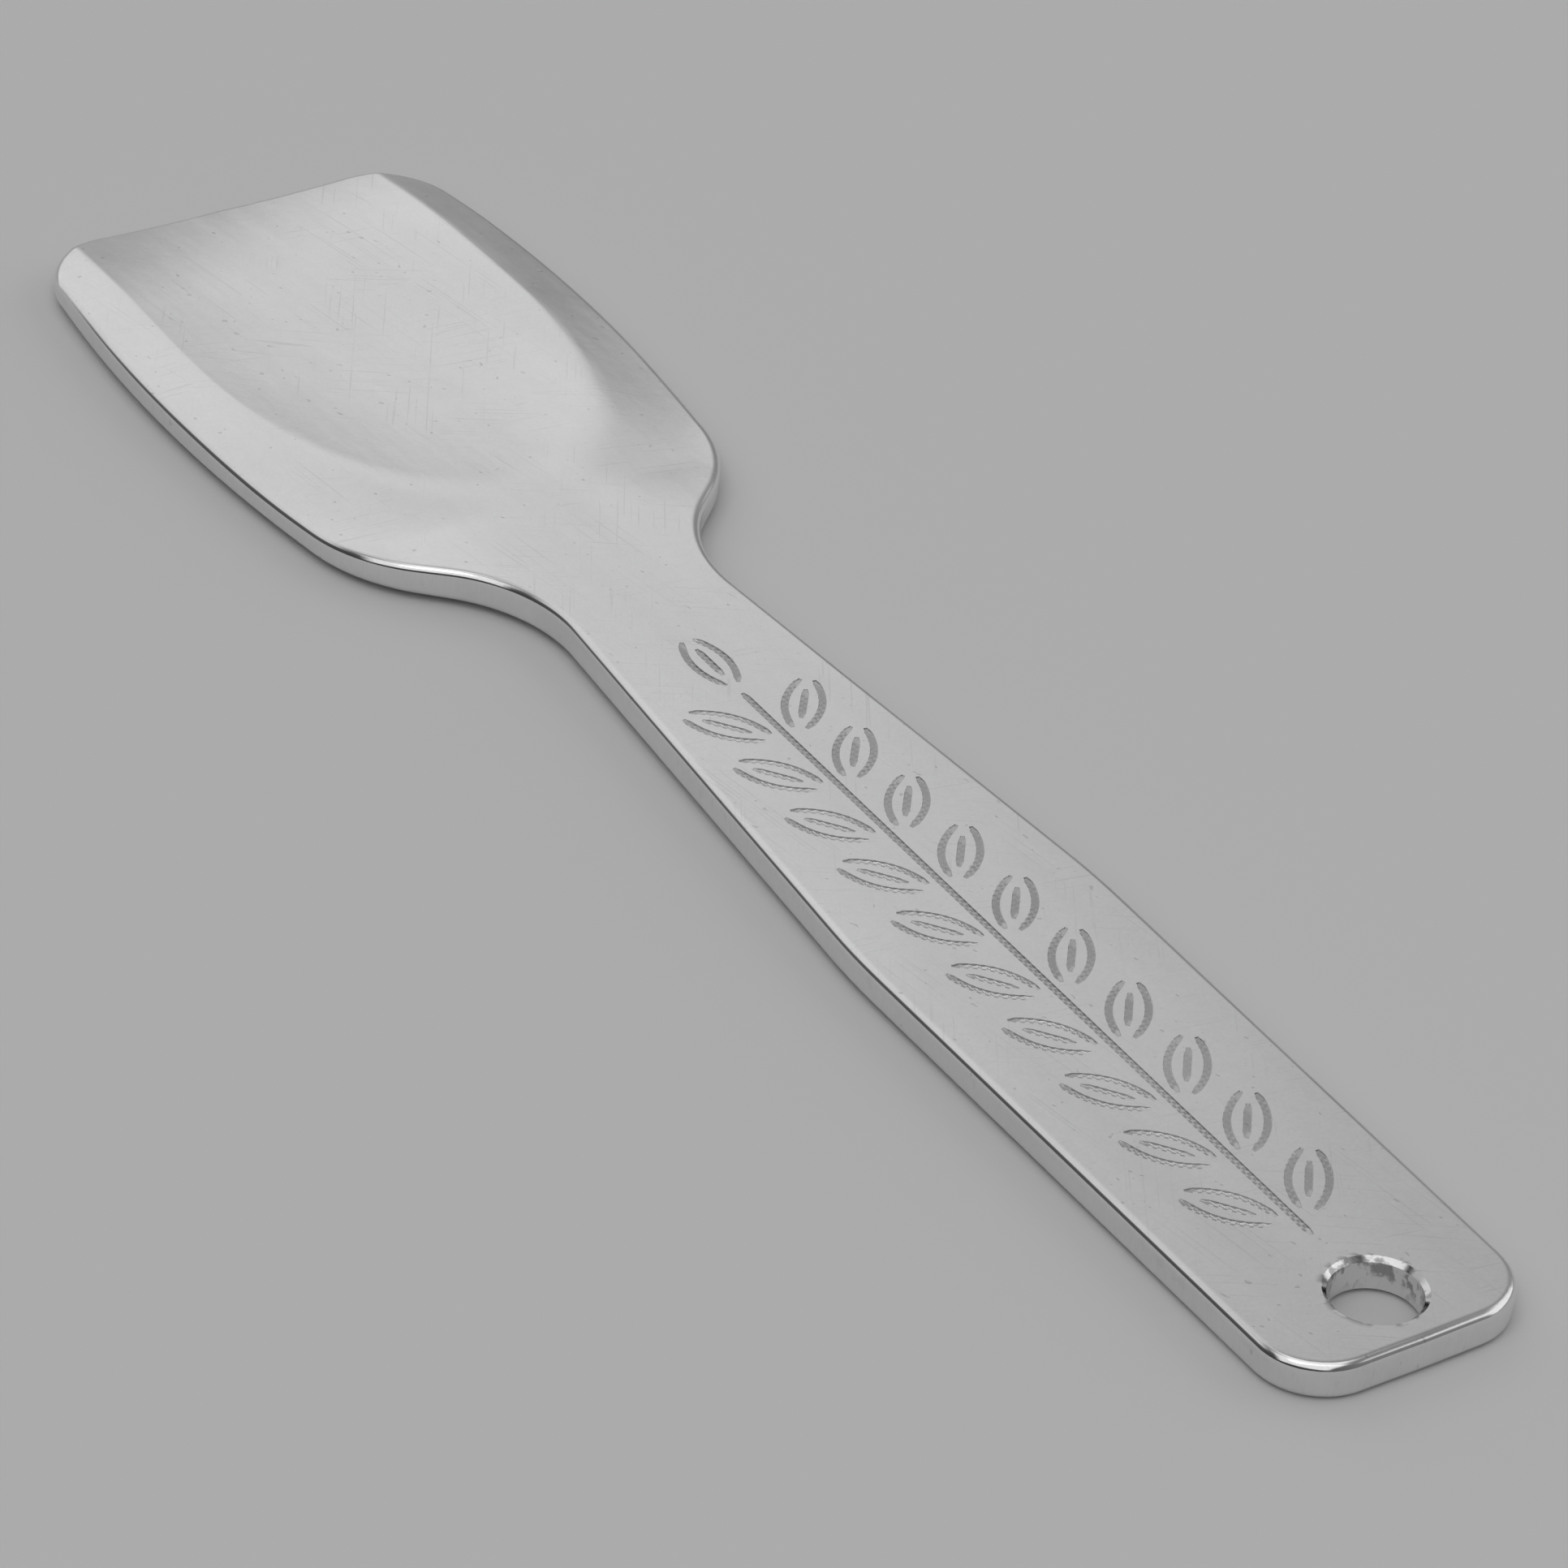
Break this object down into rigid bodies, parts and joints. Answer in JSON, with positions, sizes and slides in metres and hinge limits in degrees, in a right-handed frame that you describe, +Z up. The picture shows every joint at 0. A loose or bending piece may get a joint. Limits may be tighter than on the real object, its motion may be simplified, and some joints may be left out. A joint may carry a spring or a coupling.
{
  "type": "gourmet spoon",
  "caption": "Flat one-piece steel serving spoon with a shallow bowl open at the front edge and a hang hole in its handle.",
  "frame": {"origin": "middle of the spoon's length and width, at the surface it rests on", "axes": "+X from the handle's end to the front edge, +Z up, as the spoon lies at rest"},
  "size_m": [0.145, 0.0334, 0.0029],
  "materials": {
    "polished_steel": "polished"
  },
  "bodies": {
    "root": {"spoon": "polished_steel"}
  },
  "joints": []
}
